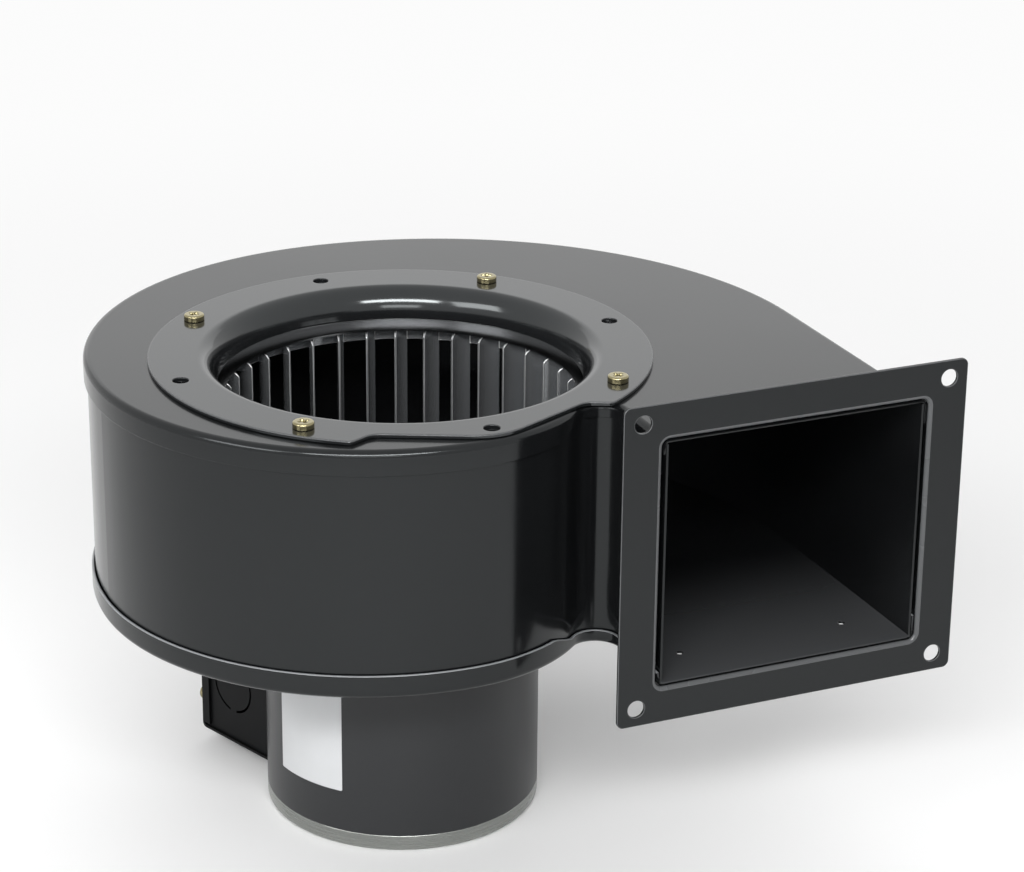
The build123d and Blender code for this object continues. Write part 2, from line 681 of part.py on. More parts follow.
with BuildPart() as junction_box:
    with BuildSketch(side_plane):
        with Locations((0, box_middle)):
            Rectangle(box_end, box_height, align=(Align.MIN, Align.CENTER))
        fillet(vertices().group_by(lambda v: v.X)[-1], cover_bend)
    extrude(amount=box_width / 2, both=True)
    with BuildSketch(side_plane):
        with Locations((0, box_middle)):
            Rectangle(box_end, 2 * box_height, align=(Align.MIN, Align.CENTER))
    extrude(amount=box_width / 2 - box_sheet, both=True, mode=Mode.SUBTRACT)
    with BuildSketch(Plane.XY.offset(box_bottom)):
        Circle(saddle_radius + box_sheet)
    extrude(amount=box_height)
    with BuildSketch(side_plane):
        with Locations((0, box_middle)):
            Rectangle(box_end, box_height, align=(Align.MIN, Align.CENTER))
        fillet(vertices().group_by(lambda v: v.X)[-1], cover_bend)
    extrude(amount=box_width / 2, both=True, mode=Mode.INTERSECT)
    with BuildSketch(Plane.XY):
        Circle(saddle_radius)
    extrude(amount=motor_length, mode=Mode.SUBTRACT)
    with BuildSketch(box_plane(box_end)):
        for x, y in screw_places:
            with Locations((math.copysign(box_width / 2 - box_sheet / 2, x), y)):
                tab_side = Align.MAX if x > 0 else Align.MIN
                Rectangle(tab_width, tab_width, align=(tab_side, Align.CENTER))
            with Locations((x, y)):
                Circle(cover_screw / 2 + seat_gap, mode=Mode.SUBTRACT)
    extrude(amount=-box_sheet)
    with BuildSketch(side_plane):
        with Locations(knockout_place):
            Circle(knockout / 2)
    extrude(amount=box_width, both=True, mode=Mode.SUBTRACT)
    with BuildSketch(box_plane(0)):
        with Locations((0, lead_height)):
            Circle(grommet_hole / 2)
    extrude(amount=saddle_radius + 2 * box_sheet, mode=Mode.SUBTRACT)
    for side in (-1, 1):
        with BuildSketch(radial_plane(box_angle + side * box_screw_spread, 0, lead_height)):
            Circle(bolt_hole)
        extrude(amount=saddle_radius + 2 * box_sheet, mode=Mode.SUBTRACT)
finish(junction_box, "junction_box")

# Knockouts: each round slug is still tied to its wall above and below.
with BuildPart() as knockout_slugs:
    for side in (-1, 1):
        with BuildSketch(side_plane.offset(side * box_width / 2)):
            with Locations(knockout_place):
                Circle(knockout / 2 - knockout_groove)
                Rectangle(knockout_tie, knockout)
                Circle(knockout / 2 - seat_gap, mode=Mode.INTERSECT)
        extrude(amount=-side * box_sheet)
finish(knockout_slugs, "knockout_slugs")

# The cover is one sheet bent over the box's top, front and bottom, with a lip down each side of its front.
cover_inside = box_height / 2 + seat_gap
cover_outside = cover_inside + cover_sheet
cover_side = box_width / 2 + seat_gap + cover_sheet
with BuildPart() as junction_box_cover:
    with BuildSketch(side_plane):
        with Locations((0, box_middle)):
            Rectangle(box_reach, 2 * cover_outside, align=(Align.MIN, Align.CENTER))
        fillet(vertices().group_by(lambda v: v.X)[-1], cover_bend)
        with BuildSketch(mode=Mode.PRIVATE) as inside:
            with Locations((0, box_middle)):
                Rectangle(box_reach - cover_sheet, 2 * cover_inside, align=(Align.MIN, Align.CENTER))
            fillet(vertices().group_by(lambda v: v.X)[-1], cover_bend - cover_sheet)
        add(inside.sketch, mode=Mode.SUBTRACT)
    extrude(amount=cover_side, both=True)
    with BuildSketch(box_plane(box_reach)):
        for side in (-1, 1):
            with Locations((side * (cover_side - cover_sheet / 2), box_middle)):
                Rectangle(cover_sheet, 2 * (cover_outside - cover_bend))
    extrude(amount=-cover_lip)
    with BuildSketch(Plane.XY):
        Circle(shell_radius + cover_to_shell)
    extrude(amount=motor_length, mode=Mode.SUBTRACT)
    with BuildSketch(box_plane(box_reach)):
        with Locations(*screw_places):
            Circle(cover_screw / 2 + seat_gap)
    extrude(amount=-cover_sheet, mode=Mode.SUBTRACT)
finish(junction_box_cover, "junction_box_cover")

with BuildPart() as junction_box_screws:
    with BuildSketch(box_plane(box_reach)):
        with Locations(*screw_places):
            Circle(bolt_head / 2)
    extrude(amount=bolt_head_height)
    with BuildSketch(box_plane(box_reach)):
        with Locations(*screw_places):
            Circle(cover_screw / 2)
    extrude(amount=-screw_length)
finish(junction_box_screws, "junction_box_screws")

# Screws that hold the box's saddle to the shell, from inside the box.
with BuildPart() as saddle_screws:
    for side in (-1, 1):
        angle = box_angle + side * box_screw_spread
        head_plane = radial_plane(angle, saddle_radius + box_sheet, lead_height)
        with BuildSketch(head_plane):
            Circle(bolt_head / 2)
        extrude(amount=bolt_head_height)
        with BuildSketch(head_plane):
            Circle(bolt_radius)
        extrude(amount=-box_screw_length)
finish(saddle_screws, "saddle_screws")

# Lead grommet: a rubber bush with a lip on each side of the shell and saddle.
with BuildPart() as lead_grommet:
    inner_face = shell_bore - grommet_lip_sheet - seat_gap
    outer_face = saddle_radius + box_sheet + grommet_lip_sheet + seat_gap
    with BuildSketch(box_plane(inner_face)):
        with Locations((0, lead_height)):
            Circle(grommet_hole / 2 - seat_gap)
    extrude(amount=outer_face - inner_face)
    with BuildSketch(box_plane(outer_face)):
        with Locations((0, lead_height)):
            Circle(grommet_hole / 2 + grommet_lip)
    extrude(amount=-grommet_lip_sheet)
    with BuildSketch(box_plane(inner_face)):
        with Locations((0, lead_height)):
            Circle(grommet_bore / 2)
    extrude(amount=outer_face - inner_face, mode=Mode.SUBTRACT)
finish(lead_grommet, "lead_grommet")
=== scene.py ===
import math

import bmesh
import bpy
from mathutils import Matrix, Vector


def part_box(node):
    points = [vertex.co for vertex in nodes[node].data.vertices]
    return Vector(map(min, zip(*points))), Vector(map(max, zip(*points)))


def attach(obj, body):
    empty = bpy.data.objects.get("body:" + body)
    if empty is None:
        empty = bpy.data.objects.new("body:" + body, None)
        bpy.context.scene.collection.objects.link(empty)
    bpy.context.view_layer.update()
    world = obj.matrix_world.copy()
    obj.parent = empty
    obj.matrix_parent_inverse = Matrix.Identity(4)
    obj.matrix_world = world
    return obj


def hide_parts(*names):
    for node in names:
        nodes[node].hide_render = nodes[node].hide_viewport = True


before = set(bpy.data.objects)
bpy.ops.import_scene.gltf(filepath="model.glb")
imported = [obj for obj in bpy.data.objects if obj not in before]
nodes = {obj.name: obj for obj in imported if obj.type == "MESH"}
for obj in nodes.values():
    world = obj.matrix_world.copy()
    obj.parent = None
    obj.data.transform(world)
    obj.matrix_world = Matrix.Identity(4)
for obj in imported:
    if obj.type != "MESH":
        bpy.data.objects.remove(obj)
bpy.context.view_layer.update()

# Lower end cap: a turned aluminium casting. The motor stands on it, and the long bolts screw into it.
# Its outside is bare metal, with fine turning marks that run round it and a small chamfer at its edges.
MM = 0.001


def new_material(name):
    """A material with its node tree and its shader."""
    material = bpy.data.materials.new(name)
    material.use_nodes = True
    tree = material.node_tree
    return material, tree, tree.nodes["Principled BSDF"]


def marbled(tree, place, scale, detail):
    """Uneven patches over a surface, as a socket."""
    patches = tree.nodes.new("ShaderNodeTexNoise")
    patches.inputs["Scale"].default_value = scale
    patches.inputs["Detail"].default_value = detail
    tree.links.new(place, patches.inputs["Vector"])
    return patches.outputs["Fac"]


def spread(tree, source, from_range, to_range=(0.0, 1.0), smooth=False):
    """Carry a socket from one range over to another, with soft ends if it is smooth."""
    carried = tree.nodes.new("ShaderNodeMapRange")
    if smooth:
        carried.interpolation_type = "SMOOTHSTEP"
    carried.inputs["From Min"].default_value = from_range[0]
    carried.inputs["From Max"].default_value = from_range[1]
    carried.inputs["To Min"].default_value = to_range[0]
    carried.inputs["To Max"].default_value = to_range[1]
    tree.links.new(source, carried.inputs["Value"])
    return carried.outputs["Result"]


def two_tones(tree, factor, colour, darker, lighter):
    """Vary a colour between a darker and a lighter tone of itself."""
    tone = tree.nodes.new("ShaderNodeMix")
    tone.data_type = "RGBA"
    tone.inputs["A"].default_value = (*[c * darker for c in colour], 1)
    tone.inputs["B"].default_value = (*[min(1.0, c * lighter) for c in colour], 1)
    tree.links.new(factor, tone.inputs["Factor"])
    return tone.outputs["Result"]


def turned_metal(name, colour, roughness, marks, stretch=(1, 1, 1)):
    """A bare metal whose fine marks run one way: stretch is large along the axis that they cross."""
    material, tree, shader = new_material(name)
    shader.inputs["Metallic"].default_value = 1.0
    place = tree.nodes.new("ShaderNodeTexCoord")
    stretched = tree.nodes.new("ShaderNodeMapping")
    stretched.inputs["Scale"].default_value = stretch
    tree.links.new(place.outputs["Object"], stretched.inputs["Vector"])
    streaks = marbled(tree, stretched.outputs["Vector"], scale=marks, detail=5)
    tone = two_tones(tree, streaks, colour, darker=0.80, lighter=1.15)
    tree.links.new(tone, shader.inputs["Base Color"])
    sheen = spread(tree, streaks, (0.0, 1.0), (roughness - 0.06, roughness + 0.08))
    tree.links.new(sheen, shader.inputs["Roughness"])
    return material


def give(node_name, material):
    """Finish a CAD node, whose own mesh stays as it is."""
    nodes[node_name].data.materials.clear()
    nodes[node_name].data.materials.append(material)


def ease_edges(node_name, width):
    """Round a CAD node's sharp edges a little, so that they catch the light as real edges do."""
    weld = nodes[node_name].modifiers.new("weld", "WELD")
    weld.merge_threshold = 0.01 * MM
    bevel = nodes[node_name].modifiers.new("edges", "BEVEL")
    bevel.limit_method = "ANGLE"
    bevel.angle_limit = math.radians(40)
    bevel.width = width
    bevel.segments = 2
    bevel.use_clamp_overlap = False
    normals = nodes[node_name].modifiers.new("normals", "WEIGHTED_NORMAL")
    normals.keep_sharp = False


turned_aluminium = turned_metal("turned_aluminium", (0.29, 0.30, 0.285), 0.26, marks=60, stretch=(1, 1, 30))
give("lower_end_cap", turned_aluminium)
ease_edges("lower_end_cap", width=0.5 * MM)

# Inside the motor: sleeve bearings of sintered bronze, a shaft of ground steel with the rotor pressed on it,
# a collar of natural nylon on each side of the rotor, and the wound stator pressed in the shell.
bronze = turned_metal("bearing_bronze", (0.50, 0.33, 0.16), 0.40, marks=300)
give("lower_bearing", bronze)
give("upper_bearing", bronze)
ground_shaft = turned_metal("ground_shaft", (0.50, 0.50, 0.50), 0.22, marks=200, stretch=(1, 1, 20))
give("motor_shaft", ground_shaft)
laminations = turned_metal("laminations", (0.16, 0.16, 0.17), 0.45, marks=40, stretch=(1, 1, 60))
give("rotor_core", laminations)
give("stator_core", laminations)
cast = turned_metal("cast_aluminium", (0.50, 0.50, 0.50), 0.50, marks=220)
give("rotor_cage", cast)
give("upper_end_bell", cast)


def coated(name, colour, roughness, peel, grain):
    """A paint, varnish, plastic or rubber: cloudy in tone and gloss, with a fine uneven skin."""
    material, tree, shader = new_material(name)
    place = tree.nodes.new("ShaderNodeTexCoord")
    clouds = marbled(tree, place.outputs["Object"], scale=14, detail=4)
    tone = two_tones(tree, clouds, colour, darker=0.85, lighter=1.15)
    tree.links.new(tone, shader.inputs["Base Color"])
    sheen = spread(tree, clouds, (0.3, 0.7), (roughness - 0.03, roughness + 0.03))
    tree.links.new(sheen, shader.inputs["Roughness"])
    skin = tree.nodes.new("ShaderNodeBump")
    skin.inputs["Strength"].default_value = peel
    skin.inputs["Distance"].default_value = 0.05 * MM
    fine = marbled(tree, place.outputs["Object"], scale=grain, detail=2)
    tree.links.new(fine, skin.inputs["Height"])
    tree.links.new(skin.outputs["Normal"], shader.inputs["Normal"])
    return material


give("thrust_collars", coated("collar_nylon", (0.62, 0.58, 0.48), 0.45, peel=0.05, grain=400))
give("stator_winding", coated("winding_varnish", (0.40, 0.13, 0.05), 0.35, peel=0.60, grain=900))


# Shell: a drawn steel tube under satin charcoal paint, sprayed on, so it has a slight orange peel.
# The paint dries a little paler and duller here than on the housing above it.
def glaze(material, ior, tint=(1, 1, 1)):
    """Set how strongly a coat mirrors, and in what tint."""
    shader = material.node_tree.nodes["Principled BSDF"]
    shader.inputs["IOR"].default_value = ior
    shader.inputs["Specular Tint"].default_value = (*tint, 1)


satin = coated("satin_charcoal_paint", (0.018, 0.019, 0.0205), 0.34, peel=0.08, grain=500)
glaze(satin, ior=1.42)
give("motor_shell", satin)

# Rating label: a blank sheet of white vinyl stuck round the shell, with its corners cut off.
# It carries nothing.
label_width = 38 * MM
label_bottom = 28 * MM
label_top = 97 * MM
label_middle = math.radians(-64.3)
label_glue = 0.02 * MM
label_sheet = 0.12 * MM
label_corner = 0.5 * MM
label_columns = 24
shell_low, shell_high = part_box("motor_shell")
shell_radius = (shell_high[0] - shell_low[0]) / 2


def new_piece(name, shape, materials, slot, body, *replaced):
    """Turn a bmesh into a smooth piece with its materials, and say what it rides on and stands for."""
    bmesh.ops.recalc_face_normals(shape, faces=shape.faces)
    mesh = bpy.data.meshes.new(name)
    shape.to_mesh(mesh)
    shape.free()
    mesh.polygons.foreach_set("use_smooth", [True] * len(mesh.polygons))
    for material in materials:
        mesh.materials.append(material)
    piece = bpy.data.objects.new(name, mesh)
    bpy.context.scene.collection.objects.link(piece)
    normals = piece.modifiers.new("normals", "WEIGHTED_NORMAL")
    normals.keep_sharp = False
    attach(piece, body)
    if replaced:
        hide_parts(*replaced)


label_shape = bmesh.new()
label_skins = []
for reach in (shell_radius + label_glue, shell_radius + label_glue + label_sheet):
    rows = []
    for height, cut in (
        (label_bottom, label_corner),
        (label_bottom + label_corner, 0),
        (label_top - label_corner, 0),
        (label_top, label_corner),
    ):
        half = label_width / 2 - cut
        row = []
        for column in range(label_columns + 1):
            angle = label_middle + (column / label_columns * 2 - 1) * half / shell_radius
            row.append(label_shape.verts.new((reach * math.cos(angle), reach * math.sin(angle), height)))
        rows.append(row)
    label_skins.append(rows)
for rows in label_skins:
    for low, high in zip(rows, rows[1:]):
        for column in range(label_columns):
            label_shape.faces.new((low[column], low[column + 1], high[column + 1], high[column]))
glued_edge, free_edge = [
    rows[0] + [rows[1][-1], rows[2][-1]] + rows[3][::-1] + [rows[2][0], rows[1][0]]
    for rows in label_skins
]
for index in range(len(glued_edge)):
    after = (index + 1) % len(glued_edge)
    label_shape.faces.new((glued_edge[index], glued_edge[after], free_edge[after], free_edge[index]))
vinyl = coated("label_vinyl", (0.54, 0.55, 0.56), 0.38, peel=0.04, grain=300)
new_piece("blank_label", label_shape, [vinyl], "nylon", "housing")

# Junction box: two side walls on a saddle, screwed to the shell, and one bent cover. Painted sheet steel.
# Each side wall has a knockout for a conduit, and the leads come in through a rubber bush.
box_paint = coated("box_paint", (0.0055, 0.0058, 0.0062), 0.42, peel=0.08, grain=500)
glaze(box_paint, ior=1.18)
give("junction_box", box_paint)
give("knockout_slugs", box_paint)
give("junction_box_cover", box_paint)
give("lead_grommet", coated("grommet_rubber", (0.02, 0.02, 0.02), 0.60, peel=0.20, grain=500))
zinc = turned_metal("zinc_plate", (0.52, 0.53, 0.54), 0.34, marks=200, stretch=(1, 1, 8))
give("saddle_screws", zinc)
give("motor_through_bolts", zinc)

# The box cover's two screws and the ring's four are pan heads with a cross recess, plated in yellow zinc.
# Each head is a low drum with a rounded shoulder, pressed over its recess, on a plain shank.
yellow_zinc = turned_metal("yellow_zinc", (0.31, 0.275, 0.16), 0.22, marks=120)
box_angle = math.radians(200)
box_middle = 34 * MM
cover_reach = 105.7 * MM
cover_screw_side = 31.5 * MM
cover_screw_drop = 13 * MM


def pan_head(shape, place, head_radius, head_height, shank_radius, shank_length):
    """Add one screw to the shape. place stands its head on the seat, with its own +z away from it."""
    around = 96
    shoulder = 0.30 * head_height
    foot = 0.12 * head_height
    foot_radius = 0.97 * head_radius
    cross_half = 0.115 * head_radius
    cross_wall = 0.6 * cross_half
    cross_reach = 0.56 * head_radius
    cross_end = 0.25 * cross_reach
    cross_depth = 0.42 * head_height
    profile = [(0.04 * step * head_radius, head_height) for step in range(1, 18)]
    for degrees in range(0, 91, 15):
        turn = math.radians(degrees)
        radius = head_radius - shoulder + shoulder * math.sin(turn)
        profile.append((radius, head_height - shoulder + shoulder * math.cos(turn)))
    profile += [(head_radius, foot), (foot_radius, 0), (shank_radius, 0), (shank_radius, -shank_length)]
    rows = []
    for radius, height in profile:
        row = []
        for step in range(around):
            turn = 2 * math.pi * step / around
            x, y = radius * math.cos(turn), radius * math.sin(turn)
            rise = height
            if radius < cross_reach and height == head_height:
                across = min(abs(x), abs(y))
                fall = 1 - max(0.0, min(1.0, (across - cross_half) / cross_wall))
                fade = max(0.0, min(1.0, (cross_reach - radius) / cross_end))
                rise -= cross_depth * fall * fade
            row.append(shape.verts.new(place @ Vector((x, y, rise))))
        rows.append(row)
    middle = shape.verts.new(place @ Vector((0, 0, head_height - cross_depth)))
    tip = shape.verts.new(place @ Vector((0, 0, -shank_length)))
    for step in range(around):
        after = (step + 1) % around
        shape.faces.new((middle, rows[0][step], rows[0][after]))
        shape.faces.new((tip, rows[-1][after], rows[-1][step]))
        for inner, outer in zip(rows, rows[1:]):
            shape.faces.new((inner[step], outer[step], outer[after], inner[after]))


outward = Vector((math.cos(box_angle), math.sin(box_angle), 0))
sideways = Vector((-math.sin(box_angle), math.cos(box_angle), 0))
upward = Vector((0, 0, 1))
cover_screws = bmesh.new()
for side in (-1, 1):
    height = box_middle - side * cover_screw_drop
    seat = outward * cover_reach + sideways * side * cover_screw_side + upward * height
    stand = Matrix((sideways, upward, outward)).transposed().to_4x4()
    pan_head(
        cover_screws,
        Matrix.Translation(seat) @ stand,
        head_radius=4.0 * MM,
        head_height=3.5 * MM,
        shank_radius=1.75 * MM,
        shank_length=9.5 * MM,
    )
new_piece("box_cover_screws", cover_screws, [yellow_zinc], "zinc_yellow", "housing", "junction_box_screws")

# Scroll housing: a band bent to a spiral between two side plates, whose edges are folded over it.
# All three are pressed or rolled sheet steel, painted after they are put together. The motor-side plate's
# sheared rim edges are painted light grey, a painted highlight along its rim. The duct's floor is painted
# lighter where it faces up towards the outlet: a painted pool of light from the lamps in front of the outlet.
charcoal_tint = (0.94, 0.99, 1.0)
charcoal = coated("charcoal_paint", (0.0060, 0.0064, 0.0069), 0.17, peel=0.10, grain=500)
glaze(charcoal, ior=1.40, tint=charcoal_tint)
give("scroll_wrap", charcoal)
# Paint thin on sheared edges, made light enough to also paint the highlight that these edges and the flange's
# rolled lip catch.
thin_paint_and_highlight = coated("thin_edge_paint_and_highlight", (0.070, 0.073, 0.076), 0.28, peel=0.05, grain=500)
# A painted highlight: the motor-side plate's sheared rim edges are painted a light grey.
painted_edge_highlight = coated("edge_highlight_paint", (0.24, 0.25, 0.26), 0.30, peel=0.05, grain=500)


def combine(tree, operation, first, second):
    """Work out one socket from two."""
    result = tree.nodes.new("ShaderNodeMath")
    result.operation = operation
    tree.links.new(first, result.inputs[0])
    tree.links.new(second, result.inputs[1])
    return result.outputs["Value"]


# Painted light: where the motor-side plate faces up inside the duct, 25 to 125 mm out from the shaft, its
# colour is mixed towards a lighter grey.
painted_lit_floor = coated("duct_floor_painted_light", (0.0060, 0.0064, 0.0069), 0.17, peel=0.10, grain=500)
glaze(painted_lit_floor, ior=1.40, tint=charcoal_tint)
painted_lit_floor_tree = painted_lit_floor.node_tree
painted_lit_floor_colour = painted_lit_floor_tree.nodes["Principled BSDF"].inputs["Base Color"]
facing = painted_lit_floor_tree.nodes.new("ShaderNodeTexCoord")
way_up = painted_lit_floor_tree.nodes.new("ShaderNodeSeparateXYZ")
painted_lit_floor_tree.links.new(facing.outputs["Normal"], way_up.inputs["Vector"])
from_shaft = painted_lit_floor_tree.nodes.new("ShaderNodeSeparateXYZ")
painted_lit_floor_tree.links.new(facing.outputs["Object"], from_shaft.inputs["Vector"])
faces_up = spread(painted_lit_floor_tree, way_up.outputs["Z"], (0.5, 0.95), smooth=True)
towards_outlet = spread(painted_lit_floor_tree, from_shaft.outputs["X"], (25 * MM, 125 * MM), smooth=True)
painted_light = painted_lit_floor_tree.nodes.new("ShaderNodeMix")
painted_light.data_type = "RGBA"
painted_light.inputs["B"].default_value = (0.062, 0.064, 0.067, 1)
painted_lit_floor_tree.links.new(combine(painted_lit_floor_tree, "MULTIPLY", faces_up, towards_outlet), painted_light.inputs["Factor"])
painted_lit_floor_tree.links.new(painted_lit_floor_colour.links[0].from_socket, painted_light.inputs["A"])
painted_lit_floor_tree.links.new(painted_light.outputs["Result"], painted_lit_floor_colour)

plate_sheet = 1.2 * MM
plate_ease = 0.4 * MM
plate_round = 0.3 * plate_ease
rim_height = 11.1 * MM
tongue_rim_height = 6.4 * MM
rim_bend = 3.0 * MM
rim_margin = rim_bend + 0.4 * MM
duct_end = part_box("inlet_side_plate")[1][0]
far_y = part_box("inlet_side_plate")[1][1]
near_y = far_y - 127.3 * MM
relief_y = near_y - 30.4 * MM
relief_slope = 11.0 * MM
quarters = (
    (Vector((13.8, 12.6)) * MM, 177.1 * MM),
    (Vector((-13.6, 12.6)) * MM, 149.7 * MM),
    (Vector((-13.6, -10.1)) * MM, 127.0 * MM),
    (Vector((30.2, -10.1)) * MM, 83.2 * MM),
)
tongue_radius = 10.0 * MM
opening_radius = 97.5 * MM
ring_holes = 103.2 * MM
ring_hole = 7.14 * MM
plate_screw_hole = 4.9 * MM
pilot_hole = 29.0 * MM
bolt_circle = 55.0 * MM
bolt_hole = 4.2 * MM
weep_hole = 3.2 * MM
weep_x = 115.4 * MM
weep_offset = 40.5 * MM


def arc_points(centre, radius, start, end, step, bulge=1):
    """Points round an arc, each with the way out of the sheet; bulge is -1 where the arc is hollow."""
    count = max(2, round(abs(end - start) / step) + 1)
    points = []
    for index in range(count):
        turn = math.radians(start + (end - start) * index / (count - 1))
        out = Vector((math.cos(turn), math.sin(turn)))
        points.append((Vector(centre) + radius * out, bulge * out))
    return points


def edge_band(shape, outline, profile, stand, thin_rows=()):
    """Sweep (inset, depth) pairs round a closed outline. thin_rows are the rows in the second material."""
    rows = []
    for inset, depth in profile:
        row = []
        for point, out in outline:
            flat = point - out * inset
            row.append(shape.verts.new(stand @ Vector((flat.x, flat.y, -depth))))
        rows.append(row)
    for number, (inner, outer) in enumerate(zip(rows, rows[1:])):
        for index in range(len(outline)):
            after = (index + 1) % len(outline)
            face = shape.faces.new((inner[index], inner[after], outer[after], outer[index]))
            face.material_index = 1 if number in thin_rows else 0
    return rows


def round_hole(shape, place, diameter, profile, stand, step, thin_rows=()):
    """Sweep a profile round a hole, with a point at every step of so many degrees."""
    hole_line = arc_points(place, diameter / 2, 0, 360 - step, step, -1)
    return edge_band(shape, hole_line, profile, stand, thin_rows)


def flat_skin(shape, rows):
    """Close a flat face between the outlines that bound it."""
    rims = []
    for row in rows:
        for index in range(len(row)):
            ends = (row[index], row[(index + 1) % len(row)])
            rims.append(shape.edges.get(ends) or shape.edges.new(ends))
    bmesh.ops.triangle_fill(shape, use_beauty=True, use_dissolve=False, edges=rims)


def bent(radius, thickness, degrees):
    """Inset and depth at so many degrees round a bend, on the face that is thickness inside the outer one."""
    angle = math.radians(degrees)
    inner = radius - thickness
    return radius - inner * math.sin(angle), radius - inner * math.cos(angle)


def eased_edge(margin, ease, depth):
    """Profile over a sheet's edge: margin wide on both flats, with both corners rounded by ease."""
    profile = [(ease + margin, 0)]
    for turn in (0, 30, 60, 90):
        angle = math.radians(turn)
        profile.append((ease * (1 - math.sin(angle)), ease * (1 - math.cos(angle))))
    back = [(inset, depth - drop) for inset, drop in reversed(profile)]
    return profile + back


def scroll_line():
    """The rims' outline from the duct's far wall, round the wheel and back along its near wall."""
    line = [(Vector((duct_end, far_y)), Vector((0, 1)))]
    last_centre, last_radius = quarters[-1]
    tongue_y = near_y - tongue_radius
    rise = tongue_y - last_centre.y
    tongue_x = last_centre.x + math.sqrt((last_radius + tongue_radius) ** 2 - rise ** 2)
    tongue_turn = math.degrees(math.atan2(rise, tongue_x - last_centre.x))
    for number, (centre, radius) in enumerate(quarters, start=1):
        sweep = 90 if number < len(quarters) else tongue_turn
        arc = arc_points(centre, radius, 90 * number, 90 * number + sweep, 2.5)
        line += arc[:-1] if number < len(quarters) else arc
    line += arc_points((tongue_x, tongue_y), tongue_radius, 180 + tongue_turn, 90, 8, -1)[1:]
    line.append((Vector((duct_end, near_y)), Vector((0, -1))))
    return line


def rim_height_at(point):
    """The folded rim's height, which is less from the tongue along the duct's near wall."""
    if point.x <= quarters[-1][0].x or point.y >= far_y - rim_margin:
        return rim_height
    narrowed = max(0.0, min(1.0, (point.y - relief_y) / relief_slope))
    return rim_height + (tongue_rim_height - rim_height) * narrowed


def side_plate(name, face_z, fold, materials, hole_list):
    """Press a side plate with its edge folded over: fold is 1 for up and -1 for down."""
    shape = bmesh.new()
    profile = [(rim_margin, 0, False)]
    profile += [(*bent(rim_bend, 0, turn), False) for turn in range(0, 91, 15)]
    first_edge_row = len(profile)
    profile += [
        (0, plate_ease, True),
        (plate_round, plate_round, True),
        (plate_ease, 0, True),
        (plate_sheet - plate_ease, 0, True),
        (plate_sheet - plate_round, plate_round, True),
        (plate_sheet, plate_ease, True),
    ]
    edge_rows = range(first_edge_row, first_edge_row + 4)
    profile += [(*bent(rim_bend, plate_sheet, turn), False) for turn in range(90, -1, -15)]
    profile.append((rim_margin, plate_sheet, False))
    outline = scroll_line()
    rows = []
    for inset, depth, from_edge in profile:
        row = []
        for point, out in outline:
            flat = point - out * inset
            drop = rim_height_at(point) - depth if from_edge else depth
            row.append(shape.verts.new((flat.x, flat.y, face_z + fold * drop)))
        rows.append(row)
    for number, (inner, outer) in enumerate(zip(rows, rows[1:])):
        for index in range(len(inner) - 1):
            face = shape.faces.new((inner[index], inner[index + 1], outer[index + 1], outer[index]))
            face.material_index = 1 if number in edge_rows else 0
    for end in (0, -1):
        shape.faces.new([row[end] for row in rows])
    shape.faces.new((rows[0][0], rows[0][-1], rows[-1][-1], rows[-1][0]))
    stand = Matrix.Translation((0, 0, face_z)) @ Matrix.Diagonal((1, 1, -fold, 1))
    hole_edge = eased_edge(margin=0.2 * MM, ease=0.15 * MM, depth=plate_sheet)
    skins = [[rows[0]], [rows[-1]]]
    for place, diameter in hole_list:
        hole_rows = round_hole(shape, place, diameter, hole_edge, stand, step=6)
        skins[0].append(hole_rows[0])
        skins[1].append(hole_rows[-1])
    for skin in skins:
        flat_skin(shape, skin)
    new_piece(name + "_sheet", shape, materials, "charcoal", "housing", name)


def circle_of(radius, count, first):
    """Places evenly round the shaft."""
    turns = [math.radians(first + 360 * index / count) for index in range(count)]
    return [(radius * math.cos(turn), radius * math.sin(turn)) for turn in turns]


inlet_holes = [((0, 0), 2 * opening_radius)]
inlet_holes += [(place, ring_hole) for place in circle_of(ring_holes, 4, 0)]
inlet_holes += [(place, plate_screw_hole) for place in circle_of(ring_holes, 4, 45)]
side_plate("inlet_side_plate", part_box("inlet_side_plate")[1][2], -1, [charcoal, charcoal], inlet_holes)
motor_holes = [((0, 0), pilot_hole)]
motor_holes += [(place, bolt_hole) for place in circle_of(bolt_circle, 4, 45)]
motor_holes += [((weep_x, (far_y + near_y) / 2 + side * weep_offset), weep_hole) for side in (-1, 1)]
side_plate("motor_side_plate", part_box("motor_side_plate")[0][2], 1, [painted_lit_floor, painted_edge_highlight], motor_holes)

# Wheel: a strip of galvanised steel, lanced into forward-curved blades and rolled to a drum, between
# a dished back plate and an end ring. A zinc plated hub and its set screw hold it on the shaft.
galvanised = turned_metal("galvanised_sheet", (0.42, 0.435, 0.45), 0.20, marks=18)
galvanised.node_tree.nodes["Principled BSDF"].inputs["Metallic"].default_value = 0.8
# The blades' eased edges are near-white bare metal: bare steel where the strip was sheared, made brighter to
# paint the highlight along them.
sheared_edge_and_highlight = turned_metal("sheared_edge_and_highlight", (0.95, 0.96, 0.97), 0.48, marks=18)
give("wheel_blade_strip", galvanised)
ease_edges("wheel_blade_strip", width=0.20 * MM)
nodes["wheel_blade_strip"].data.materials.append(sheared_edge_and_highlight)
nodes["wheel_blade_strip"].modifiers["edges"].material = 1
rolled = turned_metal("rolled_sheet", (0.20, 0.205, 0.21), 0.22, marks=60, stretch=(1, 1, 4))
give("wheel_end_ring", rolled)
give("wheel_back_plate", rolled)
give("wheel_hub", zinc)
give("hub_set_screw", zinc)

